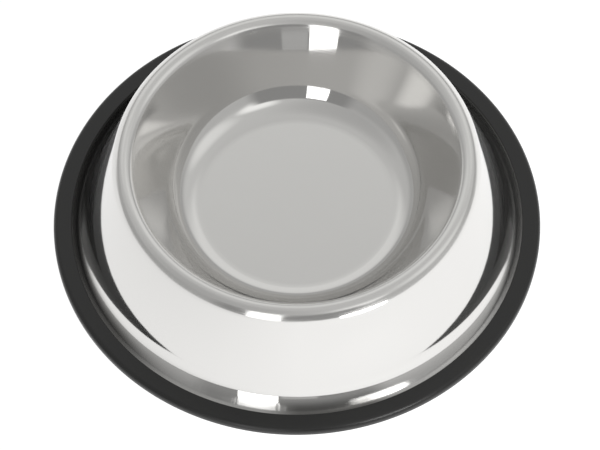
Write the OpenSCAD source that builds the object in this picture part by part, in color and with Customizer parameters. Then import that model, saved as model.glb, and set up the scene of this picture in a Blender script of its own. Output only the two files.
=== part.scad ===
// Non-tip cat bowl: one pressed steel sheet that makes food bowl, rim and flared skirt,
// standing on a slotted rubber ring. Millimetres, +Z up, origin on the table under the middle.

/* [Overall] */
// Diameter of the rubber ring, the widest part
base_d = 160; // [150:1:180]
// Height from the table to the crest of the rim
height = 38; // [34:0.5:46]

/* [Steel sheet] */
// Thickness of the sheet
sheet_t = 0.7; // [0.5:0.1:1.2]

/* [Rim] */
// Diameter of the circle along the crest of the rim
rim_crest_d = 111; // [100:1:118]
// Bend radius at the crest, on the outside of the sheet
crest_bend = 3.3; // [2:0.1:4]
// Softer bend radius of the shoulder, between crest and skirt
shoulder_bend = 6.4; // [4.5:0.1:9]
// Slope of the surface's normal above level where the crest turns into the shoulder
shoulder_slope = 47; // [40:1:60]

/* [Food bowl] */
// Lean of the bowl's wall from upright
wall_lean = 30.2; // [20:0.1:36]
// Height of the bowl's floor above the table
floor_h = 11.6; // [8:0.1:16]
// Wide bend radius where the wall begins to turn in, on the inside of the bowl
turn_bend = 21; // [14:0.5:26]
// Lean of the surface where the wide bend passes into the corner
turn_lean = 45; // [40:1:60]
// Tighter bend radius of the corner between wall and floor, on the inside of the bowl
corner_bend = 10.8; // [8:0.1:14]
// Angle of the faint crease round the flat of the floor
floor_crease = 3; // [1:0.5:8]

/* [Foot and brim] */
// Radius of the hollow curve at the foot of the skirt
foot_bend = 16; // [8:0.5:20]
// Slope of the surface's normal above level where the foot turns into the brim
foot_slope = 48; // [45:1:70]
// Radius of the last small bend into the flat brim
brim_bend = 3; // [2:0.1:4]
// Width of the flat of the brim
brim_w = 3.3; // [2:0.1:5]

/* [Rubber ring] */
// Thickness of rubber under the brim
sole_t = 0.5; // [0.4:0.1:2]
// Thickness of the lip over the brim
lip_t = 1.6; // [0.8:0.1:2.4]
// Reach of the lip past the flat of the brim, towards the skirt
lip_overhang = 0.3; // [0:0.1:0.6]
// Thickness of rubber outside the edge of the brim
web_t = 2.3; // [1.9:0.1:4]
// Clearance of the slot above the brim and outside its edge
slot_gap = 0.1; // [0.05:0.01:0.3]
// Radius of the rounded outer top edge
ring_edge = 1.8; // [0.5:0.1:1.8]
// Radius of the small edges
ring_small_edge = 0.3; // [0.1:0.05:0.5]

/* [Hidden] */
$fn = 180;
// Degrees between the points of an arc
arc_step = 3;

// Direction in the half section at an angle above level, pointing away from the axis
function toward(angle) = [cos(angle), sin(angle)];

// Points of an arc in the half section, from one angle to another
function arc(centre, radius, from, to) =
    let (steps = max(2, ceil(abs(to - from) / arc_step)))
    [for (i = [0:steps]) centre + radius * toward(from + (to - from) * i / steps)];

// Lean of the straight line that leaves one bend and runs into a bend on its other side
function lean_between(upper_centre, upper_radius, lower_centre, lower_radius) =
    let (across = lower_centre - upper_centre)
    atan2(across[1], across[0]) + acos((upper_radius + lower_radius) / norm(across));

// Brim, from the outside of the ring inwards
ring_r = base_d / 2;
brim_edge_r = ring_r - web_t - slot_gap;
brim_top = sole_t + sheet_t;
brim_centre = [brim_edge_r - brim_w, brim_top + brim_bend];
foot_centre = brim_centre + (foot_bend - brim_bend) * toward(foot_slope);

// Rim, and the skirt that runs straight from its shoulder to the foot
crest_centre = [rim_crest_d / 2, height - crest_bend];
shoulder_centre = crest_centre + (crest_bend - shoulder_bend) * toward(shoulder_slope);
skirt_lean = lean_between(shoulder_centre, shoulder_bend, foot_centre, foot_bend);

// Two bends between wall and floor, placed so that the wall runs straight up to the crest
wall_top = crest_centre + crest_bend * toward(180 - wall_lean);
corner_to_turn = (corner_bend - turn_bend) * toward(-turn_lean);
turn_centre_z = floor_h + corner_bend * cos(floor_crease) + corner_to_turn[1];
wall_foot_z = turn_centre_z - turn_bend * sin(wall_lean);
wall_foot_r = wall_top[0] - (wall_top[1] - wall_foot_z) * tan(wall_lean);
turn_centre = [wall_foot_r - turn_bend * cos(wall_lean), turn_centre_z];
corner_centre = turn_centre - corner_to_turn;

// One face of the sheet, from the middle of the floor over the rim to the edge of the brim.
// inset is how deep the face lies under the side that shows.
function sheet_face(inset) = concat(
    [[0, floor_h - inset]],
    arc(corner_centre, corner_bend + inset, floor_crease - 90, -turn_lean),
    arc(turn_centre, turn_bend + inset, -turn_lean, -wall_lean),
    arc(crest_centre, crest_bend - inset, 180 - wall_lean, shoulder_slope),
    arc(shoulder_centre, shoulder_bend - inset, shoulder_slope, skirt_lean),
    arc(foot_centre, foot_bend + inset, 180 + skirt_lean, 180 + foot_slope),
    arc(brim_centre, brim_bend + inset, 180 + foot_slope, 270),
    [[brim_edge_r, brim_top - inset]]
);

function reversed(points) = [for (i = [len(points) - 1:-1:0]) points[i]];

// Food bowl, rim, skirt and brim: one sheet of even thickness, turned about the axis
module steel_bowl() {
    color("gainsboro")
        rotate_extrude()
            polygon(concat(sheet_face(0), reversed(sheet_face(sheet_t))));
}

// Slot for the brim, with the lip lying on the flat of the brim
slot_roof = brim_top + slot_gap;
slot_end_r = brim_edge_r + slot_gap;
ring_h = slot_roof + lip_t;
ring_inner_r = brim_centre[0] - lip_overhang;

// Ring that grips the brim from outside: sole, web and lip in one section
module rubber_ring() {
    small = ring_small_edge;
    section = concat(
        [[ring_inner_r, sole_t], [ring_inner_r, 0]],
        arc([ring_r - small, small], small, -90, 0),
        arc([ring_r - ring_edge, ring_h - ring_edge], ring_edge, 0, 90),
        arc([ring_inner_r + small, ring_h - small], small, 90, 180),
        [[ring_inner_r, slot_roof], [slot_end_r, slot_roof], [slot_end_r, sole_t]]
    );
    color("#333333")
        rotate_extrude()
            polygon(section);
}

steel_bowl();
rubber_ring();
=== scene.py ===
# %% [markdown]
# # A cat bowl of polished steel with a rubber foot ring
# The bowl is one piece of sheet steel, pressed into a shallow food bowl with a wide
# sloping skirt round it. A black rubber ring is stretched over the brim of the skirt,
# so that the bowl doesn't slide or rattle while the cat eats.
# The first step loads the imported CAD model, which fixes where everything goes.

# %% Load the frame
import math

import bmesh
import bpy
from mathutils import Matrix, Vector


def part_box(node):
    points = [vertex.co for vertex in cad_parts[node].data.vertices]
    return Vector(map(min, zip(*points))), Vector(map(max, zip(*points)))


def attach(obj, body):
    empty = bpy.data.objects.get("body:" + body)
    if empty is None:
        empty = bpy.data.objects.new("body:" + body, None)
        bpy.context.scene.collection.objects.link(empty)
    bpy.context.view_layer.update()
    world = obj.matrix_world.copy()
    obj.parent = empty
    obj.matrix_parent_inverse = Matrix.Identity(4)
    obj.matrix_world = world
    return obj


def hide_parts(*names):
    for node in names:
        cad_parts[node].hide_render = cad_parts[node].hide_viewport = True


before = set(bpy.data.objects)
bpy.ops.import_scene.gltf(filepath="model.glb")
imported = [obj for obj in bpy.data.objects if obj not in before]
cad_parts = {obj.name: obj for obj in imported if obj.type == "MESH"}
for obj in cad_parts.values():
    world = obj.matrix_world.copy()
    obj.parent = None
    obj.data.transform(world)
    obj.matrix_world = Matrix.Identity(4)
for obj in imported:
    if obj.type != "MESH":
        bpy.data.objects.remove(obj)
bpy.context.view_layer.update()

# %% [markdown]
# ## Sizes
# Blender works in metres here and a maker thinks in millimetres, so one factor turns
# the one into the other. Heights are read from the CAD model, so that both models agree.
# The sheet's bends follow further down, each beside the curve that it makes.

# %% Sizes that drive both pieces
MM = 0.001
steel_low, steel_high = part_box("steel_bowl")
ring_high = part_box("rubber_ring")[1]

BASE_R = 80 * MM
RIM_R = 55.5 * MM
SHEET_T = 0.7 * MM
BOWL_H = steel_high[2]
RING_H = ring_high[2]
SOLE_T = steel_low[2]

print(f"bowl {BOWL_H / MM:.1f} mm high, ring {RING_H / MM:.2f} mm high, sole {SOLE_T / MM:.2f} mm")

# %% [markdown]
# ## The section of the sheet
# A pressed bowl is the same all the way round, so its shape is one line, the section,
# turned about the upright axis. The line is made of straight runs and arcs that meet
# without a kink. Each arc is cut into steps of two degrees at most, because a mirror
# finish shows every facet, and the straight runs get points too, so that the smooth
# shading of an arc can't spread over a whole flat.

# %% Points along arcs and straight runs
ARC_STEP = 2
RUN_STEP = 1.6 * MM
FEWEST_STEPS = 3
SAME_POINT = 0.001 * MM


def toward(degrees):
    """The unit vector at that angle in the section, where x is the radius and y the height."""
    return Vector((math.cos(math.radians(degrees)), math.sin(math.radians(degrees))))


def arc(centre, radius, start, end):
    """Points on an arc of the section, both ends included."""
    by_angle = abs(end - start) / ARC_STEP
    by_length = radius * math.radians(abs(end - start)) / RUN_STEP
    steps = max(FEWEST_STEPS, math.ceil(max(by_angle, by_length)))
    return [centre + radius * toward(start + (end - start) * i / steps) for i in range(steps + 1)]


def joined(*runs):
    """One line through all the runs, with points added along each straight stretch between them."""
    line = list(runs[0])
    for run in runs[1:]:
        gap = run[0] - line[-1]
        steps = max(1, math.ceil(gap.length / RUN_STEP))
        line += [line[-1] + gap * i / steps for i in range(1, steps)]
        line += [point for point in run if (point - line[-1]).length > SAME_POINT]
    return line


print(f"a quarter bend of 10 mm gets {len(arc(Vector((0, 0)), 10 * MM, 0, 90))} points")

# %% [markdown]
# ## Bends of the press tool
# The curves decide every reflection, so the bends are the ones that the press tool has.
# The outside is worked out from the rim and the brim: the skirt is the one straight line
# that leaves the shoulder of the rim and runs into the hollow curve of the foot. The
# inside hangs from the crest of the rim: the wall leans in, then a wide bend and a tighter
# one turn it into the floor.

# %% Rim, skirt and brim
CREST_BEND = 3.3 * MM
SHOULDER_BEND = 6.4 * MM
SHOULDER_SLOPE = 47
FOOT_BEND = 16 * MM
FOOT_SLOPE = 48
BRIM_BEND = 3 * MM
BRIM_W = 3.3 * MM
WEB_T = 2.3 * MM
SLOT_GAP = 0.1 * MM

brim_edge_r = BASE_R - WEB_T - SLOT_GAP
brim_top = SOLE_T + SHEET_T
brim_centre = Vector((brim_edge_r - BRIM_W, brim_top + BRIM_BEND))
foot_centre = brim_centre + (FOOT_BEND - BRIM_BEND) * toward(FOOT_SLOPE)
crest_centre = Vector((RIM_R, BOWL_H - CREST_BEND))
shoulder_centre = crest_centre + (CREST_BEND - SHOULDER_BEND) * toward(SHOULDER_SLOPE)

across = foot_centre - shoulder_centre
skirt_lean = math.degrees(
    math.atan2(across.y, across.x) + math.acos((SHOULDER_BEND + FOOT_BEND) / across.length)
)
print(f"skirt leans {skirt_lean:.1f} degrees from upright")

# %% Food bowl
WALL_LEAN = 30.2
TURN_BEND = 21 * MM
TURN_LEAN = 45
CORNER_BEND = 10.8 * MM
FLOOR_H = 11.6 * MM
FLOOR_CREASE = 3

wall_top = crest_centre + CREST_BEND * toward(180 - WALL_LEAN)
corner_z = FLOOR_H + CORNER_BEND * math.cos(math.radians(FLOOR_CREASE))
turn_step = (CORNER_BEND - TURN_BEND) * toward(-TURN_LEAN)
turn_z = corner_z + turn_step.y
wall_foot_z = turn_z + TURN_BEND * toward(-WALL_LEAN).y
wall_foot_r = wall_top.x - (wall_top.y - wall_foot_z) * math.tan(math.radians(WALL_LEAN))
turn_centre = Vector((wall_foot_r - TURN_BEND * toward(-WALL_LEAN).x, turn_z))
corner_centre = turn_centre - turn_step
print(f"corner bend is centred {corner_centre.x / MM:.1f} mm from the axis")


# %% The two faces of the sheet
def sheet_face(inset):
    """One face of the sheet from the axis to the brim's edge, inset below the polished face."""
    return joined(
        [Vector((0, FLOOR_H - inset))],
        arc(corner_centre, CORNER_BEND + inset, FLOOR_CREASE - 90, -TURN_LEAN),
        arc(turn_centre, TURN_BEND + inset, -TURN_LEAN, -WALL_LEAN),
        arc(crest_centre, CREST_BEND - inset, 180 - WALL_LEAN, SHOULDER_SLOPE),
        arc(shoulder_centre, SHOULDER_BEND - inset, SHOULDER_SLOPE, skirt_lean),
        arc(foot_centre, FOOT_BEND + inset, 180 + skirt_lean, 180 + FOOT_SLOPE),
        arc(brim_centre, BRIM_BEND + inset, 180 + FOOT_SLOPE, 270),
        [Vector((brim_edge_r, brim_top - inset))],
    )


polished_face = sheet_face(0)
under_face = sheet_face(SHEET_T)
steel_section = polished_face + under_face[::-1]
steel_underside = [0.0] * len(polished_face) + [1.0] * len(under_face)
print(f"steel section: {len(steel_section)} points")

# %% [markdown]
# ## The section of the rubber ring
# The ring grips the brim in a slot, like the edge trim on a sheet of metal. A flat sole
# lies below the steel, a thin lip lies on top of it, and the outer edge is rounded.
# The slot is modelled, because it shows when the bowl is lifted out of the ring.

# %% Ring section
RING_EDGE = 1.8 * MM
RING_SMALL_EDGE = 0.3 * MM
LIP_OVERHANG = 0.3 * MM

slot_roof = brim_top + SLOT_GAP
slot_end_r = brim_edge_r + SLOT_GAP
ring_inner_r = brim_centre.x - LIP_OVERHANG

ring_section = joined(
    [Vector((slot_end_r, SOLE_T))],
    [Vector((slot_end_r, slot_roof))],
    [Vector((ring_inner_r, slot_roof))],
    arc(Vector((ring_inner_r + RING_SMALL_EDGE, RING_H - RING_SMALL_EDGE)), RING_SMALL_EDGE, 180, 90),
    arc(Vector((BASE_R - RING_EDGE, RING_H - RING_EDGE)), RING_EDGE, 90, 0),
    arc(Vector((BASE_R - RING_SMALL_EDGE, RING_SMALL_EDGE)), RING_SMALL_EDGE, 0, -90),
    [Vector((ring_inner_r, 0))],
    [Vector((ring_inner_r, SOLE_T))],
)
print(f"ring section: {len(ring_section)} points, {(BASE_R - ring_inner_r) / MM:.2f} mm wide")

# %% [markdown]
# ## Helpers for node trees
# Materials and Geometry Nodes are both trees of nodes. One small function adds a node,
# sets it up and links it, and a second one turns a screen colour, which is stored with a
# gamma curve, into the linear values that the shaders work in.

# %% Add a node, read a colour
def add_node(tree, kind, inputs=None, **settings):
    """A new node. An input that is given a socket is linked to it, and any other value is set."""
    node = tree.nodes.new(kind)
    for name, value in settings.items():
        setattr(node, name, value)
    for name, value in (inputs or {}).items():
        if isinstance(value, bpy.types.NodeSocket):
            tree.links.new(value, node.inputs[name])
        else:
            node.inputs[name].default_value = value
    return node


def linear(code):
    """A screen colour such as #808080 as linear red, green, blue and alpha."""
    parts = [int(code[i:i + 2], 16) / 255 for i in (1, 3, 5)]
    return [p / 12.92 if p <= 0.04045 else ((p + 0.055) / 1.055) ** 2.4 for p in parts] + [1]


def new_material(name):
    """An empty node material and its tree."""
    material = bpy.data.materials.new(name)
    material.use_nodes = True
    material.node_tree.nodes.clear()
    return material, material.node_tree


print("mid grey in linear light:", [round(v, 3) for v in linear("#808080")])

# %% [markdown]
# ## Mirror-polished stainless steel: the polish
# The sheet is polished on a turning wheel, so what is left of the polishing runs round
# the bowl in fine rings. The pattern is a noise read along the radius and the height,
# which gives rings, with a slow drift from place to place, so that the rings fade in and
# out along their length. Real polishing lines are finer than a hair. Here they are drawn
# 0.6 mm apart, as coarse as they need to be to show. Wide, very shallow dents from the
# press and from use let the reflections waver.

# %% Rings and dents
POLISH_SPACING = 0.6 * MM
POLISH_LENGTH = 22 * MM
DENT_SIZE = 14 * MM

steel, tree = new_material("mirror_polished_stainless_steel")
place = add_node(tree, "ShaderNodeTexCoord").outputs["Object"]
axes = add_node(tree, "ShaderNodeSeparateXYZ", {0: place}).outputs
level = add_node(tree, "ShaderNodeCombineXYZ", {"X": axes["X"], "Y": axes["Y"]})
radius = add_node(tree, "ShaderNodeVectorMath", {0: level.outputs[0]}, operation="LENGTH")
rings = add_node(tree, "ShaderNodeCombineXYZ", {"X": radius.outputs["Value"], "Y": axes["Z"]})
rings_scaled = add_node(tree, "ShaderNodeVectorMath", {
    0: rings.outputs[0], "Scale": 1 / POLISH_SPACING}, operation="SCALE")
drift = add_node(tree, "ShaderNodeVectorMath", {0: place, "Scale": 1 / POLISH_LENGTH}, operation="SCALE")
polish_place = add_node(tree, "ShaderNodeVectorMath", {0: rings_scaled.outputs[0], 1: drift.outputs[0]})
polish = add_node(tree, "ShaderNodeTexNoise", {"Vector": polish_place.outputs[0], "Scale": 1, "Detail": 3})
dents = add_node(tree, "ShaderNodeTexNoise", {"Vector": place, "Scale": 1 / DENT_SIZE, "Detail": 1})
print(f"polish rings every {POLISH_SPACING / MM:.1f} mm, dents {DENT_SIZE / MM:.0f} mm wide")

# %% [markdown]
# ## Mirror-polished stainless steel: how rough it is
# Most of the steel is a mirror. On the rim, which noses and cloths rub, the polish has
# gone satin. Down in the hollow of the foot the wheel can't reach, so the steel there is
# rougher. The underside was never polished and keeps the dull finish of the mill. The
# section marks the underside, and heights tell the other places apart.

# %% Roughness from place to place
SATIN_FROM = BOWL_H - 4.5 * MM
SATIN_FULL = BOWL_H - 1.2 * MM
HOLLOW_FULL = 2.4 * MM
HOLLOW_END = 4.2 * MM
NOISE_LOW = 0.3
NOISE_HIGH = 0.7
MIRROR_ROUGH = (0.03, 0.06)
SATIN_ROUGH = (0.10, 0.22)
HOLLOW_ROUGH = 0.2
MILL_ROUGH = 0.32

satin = add_node(tree, "ShaderNodeMapRange", {
    "Value": axes["Z"], "From Min": SATIN_FROM, "From Max": SATIN_FULL}, interpolation_type="SMOOTHSTEP")
hollow = add_node(tree, "ShaderNodeMapRange", {
    "Value": axes["Z"], "From Min": HOLLOW_FULL, "From Max": HOLLOW_END, "To Min": 1, "To Max": 0,
}, interpolation_type="SMOOTHSTEP")
underside = add_node(tree, "ShaderNodeAttribute", attribute_name="underside")

mirror_rough, satin_rough = (
    add_node(tree, "ShaderNodeMapRange", {
        "Value": polish.outputs[0], "From Min": NOISE_LOW, "From Max": NOISE_HIGH,
        "To Min": smoothest, "To Max": roughest})
    for smoothest, roughest in (MIRROR_ROUGH, SATIN_ROUGH)
)
rough = mirror_rough.outputs[0]
for where, roughness in (
    (satin.outputs[0], satin_rough.outputs[0]),
    (hollow.outputs[0], HOLLOW_ROUGH),
    (underside.outputs["Fac"], MILL_ROUGH),
):
    rough = add_node(tree, "ShaderNodeMix", {"Factor": where, "A": rough, "B": roughness}).outputs[0]
print(f"satin from {SATIN_FROM / MM:.1f} mm up, hollow of the foot below {HOLLOW_END / MM:.1f} mm")

# %% [markdown]
# ## Mirror-polished stainless steel: its relief
# Dents, polish lines and the small puckers that a press leaves in a tight hollow are far
# too shallow to model, so they are bumps. The puckers run out from the axis, so their
# noise reads only the direction from the axis, not the distance.

# %% Dents, polish lines and puckers
RELIEF_DEPTH = 0.012 * MM
MIRROR_RELIEF = 0.02
SATIN_RELIEF = 0.25
FOOT_R = 72 * MM
PUCKER_SPACING = 2.2 * MM
PUCKER_DEPTH = 0.05 * MM

polish_relief = add_node(tree, "ShaderNodeMapRange", {
    "Value": satin.outputs[0], "To Min": MIRROR_RELIEF, "To Max": SATIN_RELIEF})
dent_bump = add_node(tree, "ShaderNodeBump", {
    "Height": dents.outputs[0], "Distance": RELIEF_DEPTH, "Strength": 1})
polish_bump = add_node(tree, "ShaderNodeBump", {
    "Height": polish.outputs[0], "Strength": polish_relief.outputs[0], "Distance": RELIEF_DEPTH,
    "Normal": dent_bump.outputs[0]})
outward = add_node(tree, "ShaderNodeVectorMath", {0: level.outputs[0]}, operation="NORMALIZE")
puckers = add_node(tree, "ShaderNodeTexNoise", {
    "Vector": outward.outputs[0], "Scale": FOOT_R / PUCKER_SPACING, "Detail": 2})
pucker_bump = add_node(tree, "ShaderNodeBump", {
    "Height": puckers.outputs[0], "Strength": hollow.outputs[0], "Distance": PUCKER_DEPTH,
    "Normal": polish_bump.outputs[0]})
print(f"puckers every {PUCKER_SPACING / MM:.1f} mm, {PUCKER_DEPTH / MM:.2f} mm deep")

# %% [markdown]
# ## Mirror-polished stainless steel: its colour
# Polished steel gives back about seven tenths of the light. Low on the foot, next to the
# rubber lip, its colour is darker. Part of that is scuffed steel that the wheel hardly
# touched. Part is painted shade: the ring's shadow and its dark reflection in that crevice.
# It is darkest along the left side and in one patch at the front. The grey is mixed in by
# height and by those two places.

# %% Grey of the foot
SHADE_SCUFF_FULL = 2.2 * MM
SHADE_SCUFF_END = 5.2 * MM
LEAST_DARKENING = 0.3
LEFT_FULL = -60 * MM
LEFT_END = -38 * MM
FRONT_PATCH = Vector((11, -71, 3)) * MM
FRONT_FULL = 10 * MM
FRONT_END = 24 * MM

from_patch = add_node(tree, "ShaderNodeVectorMath", {0: place, 1: FRONT_PATCH}, operation="DISTANCE")
low_down, at_left, at_front = (
    add_node(tree, "ShaderNodeMapRange", {
        "Value": value, "From Min": full, "From Max": end, "To Min": 1, "To Max": least,
    }, interpolation_type="SMOOTHSTEP").outputs[0]
    for value, full, end, least in (
        (axes["Z"], SHADE_SCUFF_FULL, SHADE_SCUFF_END, 0),
        (axes["X"], LEFT_FULL, LEFT_END, LEAST_DARKENING),
        (from_patch.outputs["Value"], FRONT_FULL, FRONT_END, LEAST_DARKENING),
    )
)
left_or_front = add_node(tree, "ShaderNodeMath", {0: at_left, 1: at_front}, operation="MAXIMUM")
painted_shade_and_scuffs = add_node(tree, "ShaderNodeMath", {0: low_down, 1: left_or_front.outputs[0]}, operation="MULTIPLY")
# The darkening paints shade into the foot's colour: the ring's shadow and its dark reflection next to the
# rubber lip, together with scuffed, less polished steel.
metal = add_node(tree, "ShaderNodeMix", {
    "Factor": painted_shade_and_scuffs.outputs[0], "A": linear("#DDDCDA"), "B": linear("#6E6D6B")}, data_type="RGBA")
print(f"foot greys below {SHADE_SCUFF_END / MM:.1f} mm")

# %% [markdown]
# ## Mirror-polished stainless steel: the shader
# The polish lines blur a reflection across them more than along them, which the eye reads
# as metal that was turned. The tangent points along the rings, and a quarter turn sets the
# wider blur across them. A thin dull coat is the film that washing up leaves.

# %% Steel shader
ACROSS_RINGS = 0.25

minus_y = add_node(tree, "ShaderNodeMath", {0: axes["Y"], 1: -1}, operation="MULTIPLY")
along_rings = add_node(tree, "ShaderNodeCombineXYZ", {"X": minus_y.outputs[0], "Y": axes["X"]})
shader = add_node(tree, "ShaderNodeBsdfPrincipled", {
    "Base Color": metal.outputs["Result"],
    "Metallic": 1,
    "Roughness": rough,
    "Normal": pucker_bump.outputs[0],
    "Tangent": along_rings.outputs[0],
    "Anisotropic": 0.8,
    "Anisotropic Rotation": ACROSS_RINGS,
    "Coat Weight": 0.5,
    "Coat Roughness": 0.5,
})
add_node(tree, "ShaderNodeOutputMaterial", {"Surface": shader.outputs[0]})
print(f"{steel.name}: {len(tree.nodes)} nodes")

# %% [markdown]
# ## Moulded black rubber
# The ring is moulded in one piece. Its skin is satin, with the fine grain that a spark
# eroded mould leaves, and it is never quite one black: dust and handling leave it a
# little paler in patches. The grain is drawn coarser than the real one, so that it shows.

# %% Rubber material
GRAIN_SIZE = 0.35 * MM
GRAIN_DEPTH = 0.03 * MM
PATCH_SIZE = 9 * MM
RUBBER_ROUGH = (0.28, 0.40)

rubber, tree = new_material("moulded_black_rubber")
place = add_node(tree, "ShaderNodeTexCoord").outputs["Object"]
grain = add_node(tree, "ShaderNodeTexNoise", {"Vector": place, "Scale": 1 / GRAIN_SIZE, "Detail": 2})
patches = add_node(tree, "ShaderNodeTexNoise", {"Vector": place, "Scale": 1 / PATCH_SIZE, "Detail": 4})
tone = add_node(tree, "ShaderNodeMix", {
    "Factor": patches.outputs[0], "A": linear("#191919"), "B": linear("#232322")}, data_type="RGBA")
rubber_rough = add_node(tree, "ShaderNodeMapRange", {
    "Value": patches.outputs[0], "From Min": NOISE_LOW, "From Max": NOISE_HIGH,
    "To Min": RUBBER_ROUGH[0], "To Max": RUBBER_ROUGH[1]})
grain_bump = add_node(tree, "ShaderNodeBump", {
    "Height": grain.outputs[0], "Strength": 0.5, "Distance": GRAIN_DEPTH})
shader = add_node(tree, "ShaderNodeBsdfPrincipled", {
    "Base Color": tone.outputs["Result"],
    "Roughness": rubber_rough.outputs[0],
    "Normal": grain_bump.outputs[0],
})
add_node(tree, "ShaderNodeOutputMaterial", {"Surface": shader.outputs[0]})
print(f"{rubber.name}: {len(tree.nodes)} nodes")

# %% [markdown]
# ## A lathe in Geometry Nodes
# Both pieces follow one rule, a section turned about an axis, so one tree makes both.
# A small circle is the hub of the lathe, and Curve to Mesh carries the section round it.
# The node hangs a section's upward side downwards, so the section is turned over first.
# The Screw modifier could turn a section as well, but a tree with named inputs can be
# set for each piece, and it closes the pole at the axis and keeps real corners sharp.

# %% Lathe tree
HUB_R = 10 * MM
WELD = 0.0005 * MM
ROUND_STEPS = 240
SHARP_FROM = 35


def add_input(tree, name, kind, value=None):
    """A named input of the tree, and the identifier that a modifier knows it by."""
    socket = tree.interface.new_socket(name, in_out="INPUT", socket_type=kind)
    if value is not None:
        socket.default_value = value
    return socket.identifier


lathe = bpy.data.node_groups.new("lathe", "GeometryNodeTree")
lathe.interface.new_socket("Geometry", in_out="OUTPUT", socket_type="NodeSocketGeometry")
SECTION = add_input(lathe, "Section", "NodeSocketObject")
SEGMENTS = add_input(lathe, "Segments", "NodeSocketInt", ROUND_STEPS)
SHARP = add_input(lathe, "Sharp from", "NodeSocketFloat", math.radians(SHARP_FROM))
FINISH = add_input(lathe, "Finish", "NodeSocketMaterial")

given = add_node(lathe, "NodeGroupInput").outputs
section = add_node(lathe, "GeometryNodeObjectInfo", {"Object": given["Section"]})
line = add_node(lathe, "GeometryNodeMeshToCurve", {"Mesh": section.outputs["Geometry"]})
at_hub = add_node(lathe, "GeometryNodeTransform", {
    "Geometry": line.outputs[0], "Translation": (-HUB_R, 0, 0), "Rotation": (math.pi, 0, 0)})
hub = add_node(lathe, "GeometryNodeCurvePrimitiveCircle", {"Resolution": given["Segments"], "Radius": HUB_R})
turned = add_node(lathe, "GeometryNodeCurveToMesh", {
    "Curve": hub.outputs["Curve"], "Profile Curve": at_hub.outputs[0]})
welded = add_node(lathe, "GeometryNodeMergeByDistance", {"Geometry": turned.outputs[0], "Distance": WELD})
bend = add_node(lathe, "GeometryNodeInputMeshEdgeAngle")
kept_sharp = add_node(lathe, "FunctionNodeCompare", {
    "A": bend.outputs["Unsigned Angle"], "B": given["Sharp from"]}, operation="GREATER_THAN")
smooth = add_node(lathe, "GeometryNodeSetShadeSmooth", {"Geometry": welded.outputs[0]}, domain="FACE")
edges = add_node(lathe, "GeometryNodeSetShadeSmooth", {
    "Geometry": smooth.outputs[0], "Selection": kept_sharp.outputs[0], "Shade Smooth": False}, domain="EDGE")
real = add_node(lathe, "GeometryNodeRealizeInstances", {"Geometry": edges.outputs[0]})
finished = add_node(lathe, "GeometryNodeSetMaterial", {
    "Geometry": real.outputs[0], "Material": given["Finish"]})
add_node(lathe, "NodeGroupOutput", {"Geometry": finished.outputs[0]})
print(f"{lathe.name}: {len(lathe.nodes)} nodes")

# %% [markdown]
# ## Turning the two pieces
# The lathe needs a section to read and an object to carry its modifier. Both are helpers:
# the evaluated result is copied into a plain mesh and the helpers are removed. A closed
# piece has no open edge and a volume above zero, so both are measured.


# %% Turn a section into a piece
def turn(name, points, closed, finish, underside=None):
    """A plain mesh piece: the section's points turned about the Z axis."""
    count = len(points)
    links = [(i, i + 1) for i in range(count - 1)]
    if closed:
        links.append((count - 1, 0))
    outline = bpy.data.meshes.new(name + "_section")
    outline.from_pydata([(p.x, p.y, 0) for p in points], links, [])
    marks = outline.attributes.new("underside", "FLOAT", "POINT")
    marks.data.foreach_set("value", underside or [0.0] * count)
    drawn = bpy.data.objects.new(name + "_section", outline)
    carrier = bpy.data.objects.new(name + "_carrier", bpy.data.meshes.new(name + "_carrier"))
    for obj in (drawn, carrier):
        bpy.context.scene.collection.objects.link(obj)

    modifier = carrier.modifiers.new("lathe", "NODES")
    modifier.node_group = lathe
    modifier[SECTION] = drawn
    modifier[SEGMENTS] = ROUND_STEPS
    modifier[SHARP] = math.radians(SHARP_FROM)
    modifier[FINISH] = finish
    graph = bpy.context.evaluated_depsgraph_get()
    mesh = bpy.data.meshes.new_from_object(carrier.evaluated_get(graph), depsgraph=graph)
    mesh.name = name
    for obj in (drawn, carrier):
        bpy.data.objects.remove(obj)

    piece = bpy.data.objects.new(name, mesh)
    bpy.context.scene.collection.objects.link(piece)
    return piece


def measure(piece):
    """Prints a piece's triangles, volume and open edges."""
    shape = bmesh.new()
    shape.from_mesh(piece.data)
    volume = shape.calc_volume(signed=True)
    open_edges = sum(not edge.is_manifold for edge in shape.edges)
    shape.free()
    triangles = sum(len(face.vertices) - 2 for face in piece.data.polygons)
    print(f"{piece.name}: {triangles} triangles, {volume / MM ** 3:.0f} mm3, {open_edges} open edges")


bowl = turn("pressed_steel_bowl", steel_section, False, steel, steel_underside)
ring = turn("rubber_foot_ring", ring_section, True, rubber)
measure(bowl)
measure(ring)

# %% [markdown]
# ## Which piece is which part
# Each piece stands for its CAD solid and moves with that solid's body: the bowl can be
# lifted out of the ring.

# %% Tie the pieces to the frame
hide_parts("steel_bowl")
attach(bowl, "bowl")
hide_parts("rubber_ring")
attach(ring, "ring")
print("pieces:", bowl.name, ring.name)

# %% [markdown]
# ## The white table
# A polished bowl is a picture of its room, and the skirt shows little but the table. The
# table glows by itself wherever it is seen, directly or in the steel, and a small share of
# plain paper keeps the bowl's shadow. It is a little darker towards the left, which the
# left of the skirt shows.

# %% Table
TABLE_HALF = 3.0
GLOW_SHARE = 0.9
LEFT_EDGE = -120 * MM
LEFT_GLOW = 1.04
FULL_GLOW = 1.26

table_mesh = bpy.data.meshes.new("table")
table_mesh.from_pydata(
    [(-TABLE_HALF, -TABLE_HALF, 0), (TABLE_HALF, -TABLE_HALF, 0),
     (TABLE_HALF, TABLE_HALF, 0), (-TABLE_HALF, TABLE_HALF, 0)], [], [(0, 1, 2, 3)])
table = bpy.data.objects.new("table", table_mesh)
bpy.context.scene.collection.objects.link(table)

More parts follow.
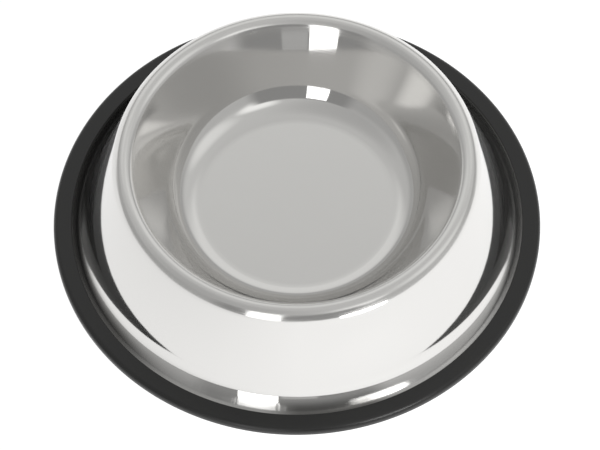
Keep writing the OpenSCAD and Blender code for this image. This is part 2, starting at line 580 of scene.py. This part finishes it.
white, tree = new_material("white_table")
path = add_node(tree, "ShaderNodeLightPath").outputs
seen = add_node(tree, "ShaderNodeMath", {
    0: path["Is Camera Ray"], 1: path["Is Glossy Ray"]}, operation="ADD")
shown = add_node(tree, "ShaderNodeMath", {
    0: seen.outputs[0], 1: path["Is Transmission Ray"]}, operation="ADD")
glow = add_node(tree, "ShaderNodeMath", {
    0: shown.outputs[0], 1: GLOW_SHARE}, operation="MULTIPLY", use_clamp=True)
paper = add_node(tree, "ShaderNodeBsdfDiffuse", {"Color": linear("#F2F2F2")})
on_table = add_node(tree, "ShaderNodeTexCoord").outputs["Object"]
across_table = add_node(tree, "ShaderNodeSeparateXYZ", {0: on_table}).outputs["X"]
strength = add_node(tree, "ShaderNodeMapRange", {
    "Value": across_table, "From Min": LEFT_EDGE, "From Max": 0, "To Min": LEFT_GLOW, "To Max": FULL_GLOW})
bright = add_node(tree, "ShaderNodeEmission", {"Color": linear("#FFFFFF"), "Strength": strength.outputs[0]})
mixed = add_node(tree, "ShaderNodeMixShader", {
    0: glow.outputs[0], 1: paper.outputs[0], 2: bright.outputs[0]})
add_node(tree, "ShaderNodeOutputMaterial", {"Surface": mixed.outputs[0]})
table_mesh.materials.append(white)
print("table is", 2 * TABLE_HALF, "m wide")

# %% [markdown]
# ## The room in the steel
# The room is painted by direction alone. Three kinds of mask choose where to paint: a
# round soft patch, everything below a height angle, and a stretch of wall between two
# bearings. A bearing is 0 at the camera's side, or at the far side for what lies behind
# the bowl, and grows to the right. Real walls and cards could stand there instead, but
# painted ones need no geometry, and each is moved by changing one angle.

# %% Masks for painting by direction
world = bpy.data.worlds.new("room")
world.use_nodes = True
tree = world.node_tree
tree.nodes.clear()
direction = add_node(tree, "ShaderNodeTexCoord").outputs["Object"]
heading = add_node(tree, "ShaderNodeSeparateXYZ", {0: direction}).outputs


def pointing(bearing, up):
    """The unit vector at a bearing from the camera's side, positive to the right, and a height angle."""
    side, rise = math.radians(bearing), math.radians(up)
    return Vector((math.cos(rise) * math.sin(side), -math.cos(rise) * math.cos(side), math.sin(rise)))


def patch(bearing, up, size):
    """A round soft patch: 1 in its middle and 0 from the given angle outwards."""
    near = add_node(tree, "ShaderNodeVectorMath", {
        0: direction, 1: pointing(bearing, up)}, operation="DOT_PRODUCT")
    return add_node(tree, "ShaderNodeMapRange", {
        "Value": near.outputs["Value"], "From Min": math.cos(math.radians(size)), "From Max": 1,
    }, interpolation_type="SMOOTHSTEP").outputs[0]


def below(up, soft):
    """1 under a height angle and 0 above it, with a soft edge."""
    low, high = (math.sin(math.radians(angle)) for angle in (up - soft, up + soft))
    return add_node(tree, "ShaderNodeMapRange", {
        "Value": heading["Z"], "From Min": low, "From Max": high, "To Min": 1, "To Max": 0,
    }, interpolation_type="SMOOTHSTEP").outputs[0]


def wall(turned_by, left, right, side_soft, up, up_soft):
    """1 between two bearings and under a height angle, with soft edges."""
    mask = below(up, up_soft)
    for edge, before in ((left, 0), (right, 1)):
        side = add_node(tree, "ShaderNodeMapRange", {
            "Value": turned_by, "From Min": math.radians(edge - side_soft),
            "From Max": math.radians(edge + side_soft), "To Min": before, "To Max": 1 - before,
        }, interpolation_type="SMOOTHSTEP")
        mask = add_node(tree, "ShaderNodeMath", {
            0: mask, 1: side.outputs[0]}, operation="MULTIPLY").outputs[0]
    return mask


print("masks ready: patch, below, wall")

# %% [markdown]
# ## Painting the room
# It starts as an even grey, a little lighter to the right. Soft lights are added to it or
# taken from it: a bright wall behind the bowl, the glow on the ceiling and a paler patch
# to the right, a dull side to the left, and less light low down. Last, the lower walls are
# laid over the rest: grey behind the bowl with a bright foot, and the dark opening in
# front, where the camera stands, which draws the outlines of the foot and the rim.

# %% Paint the room
ROOM_LEFT = 0.55
ROOM_RIGHT = 0.69

to_front = add_node(tree, "ShaderNodeMath", {0: heading["Y"], 1: -1}, operation="MULTIPLY")
in_front, behind = (
    add_node(tree, "ShaderNodeMath", {0: heading["X"], 1: ahead}, operation="ARCTAN2").outputs[0]
    for ahead in (to_front.outputs[0], heading["Y"])
)

light = add_node(tree, "ShaderNodeMapRange", {
    "Value": heading["X"], "From Min": -1, "To Min": ROOM_LEFT, "To Max": ROOM_RIGHT}).outputs[0]
for mask, change in (
    (wall(behind, -36, 36, 14, 57, 7), 0.22),
    (wall(behind, -36, 36, 14, 27, 4), -0.22),
    (patch(33, 42, 17), 0.50),
    (patch(85, 44, 24), 0.22),
    (patch(-50, 58, 40), -0.10),
    (below(30, 8), -0.12),
):
    light = add_node(tree, "ShaderNodeMath", {
        0: mask, 1: change, 2: light}, operation="MULTIPLY_ADD").outputs[0]

for mask, value in (
    (wall(behind, -75, 75, 20, 25, 4), 0.45),
    (wall(behind, -60, 60, 12, 11, 2), 0.95),
    (wall(in_front, -41, 33, 6, 38, 3), 0.30),
    (wall(in_front, -7, 8, 1, 6, 1.5), 0.50),
):
    light = add_node(tree, "ShaderNodeMix", {"Factor": mask, "A": light, "B": value}).outputs[0]

room = add_node(tree, "ShaderNodeBackground", {"Color": linear("#FFFFFE"), "Strength": light})
add_node(tree, "ShaderNodeOutputWorld", {"Surface": room.outputs[0]})
bpy.context.scene.world = world
print(f"{world.name}: {len(tree.nodes)} nodes")

# %% [markdown]
# ## Lamps
# A tall softbox stands on the table to the left of the camera. A small round lamp stands
# close to the ring, to the right of the camera and so low that the food bowl doesn't see
# it over the rim. Both show in the steel as the white shapes that tell the eye that it
# is polished. Area lamps take their power in watts, so it is worked out from how bright
# the lamp's face should look.


# %% Softbox and round lamp
def lamp(name, shape, bearing, far, width, bottom, top, radiance):
    """An upright area lamp that faces the bowl's axis from a bearing, sizes in metres."""
    made = bpy.data.lights.new(name, "AREA")
    made.shape = shape
    made.size = width
    made.size_y = top - bottom
    area = width * (top - bottom) * (1 if shape == "RECTANGLE" else math.pi / 4)
    made.energy = radiance * math.pi * area
    obj = bpy.data.objects.new(name, made)
    bpy.context.scene.collection.objects.link(obj)
    obj.location = far * pointing(bearing, 0) + Vector((0, 0, (bottom + top) / 2))
    obj.rotation_euler = (math.radians(90), 0, math.radians(bearing))
    obj.visible_camera = False
    print(f"{name}: {made.energy:.3f} W")


lamp("softbox", "RECTANGLE", bearing=-16.1, far=1500 * MM, width=432 * MM,
     bottom=13 * MM, top=1110 * MM, radiance=2)
lamp("round_lamp", "ELLIPSE", bearing=26.9, far=125 * MM, width=44 * MM,
     bottom=25 * MM, top=40 * MM, radiance=8)

# %% [markdown]
# ## Camera
# The bowl was photographed with a long lens from well above the rim. The camera aims at
# a point a little in front of the bowl's middle.

# %% Camera at the photograph's viewing angle
CAMERA_UP = 58.28
CAMERA_FAR = 1200 * MM
CAMERA_ROLL = -0.35
AIM = Vector((0.99, -13.76, 20)) * MM
FOCAL_PX = 3718.9
IMAGE_W = 600

camera = bpy.data.cameras.new("camera")
camera.sensor_width = 36
camera.lens = FOCAL_PX / IMAGE_W * camera.sensor_width
viewer = bpy.data.objects.new("camera", camera)
bpy.context.scene.collection.objects.link(viewer)
tilt = math.radians(CAMERA_UP)
viewer.location = AIM + CAMERA_FAR * Vector((0, -math.cos(tilt), math.sin(tilt)))
facing = Matrix.Rotation(math.pi / 2 - tilt, 4, "X") @ Matrix.Rotation(math.radians(CAMERA_ROLL), 4, "Z")
viewer.rotation_euler = facing.to_euler()
bpy.context.scene.camera = viewer
bpy.context.scene.view_settings.view_transform = "Standard"
print(f"lens {camera.lens:.1f} mm, {CAMERA_FAR:.2f} m away")
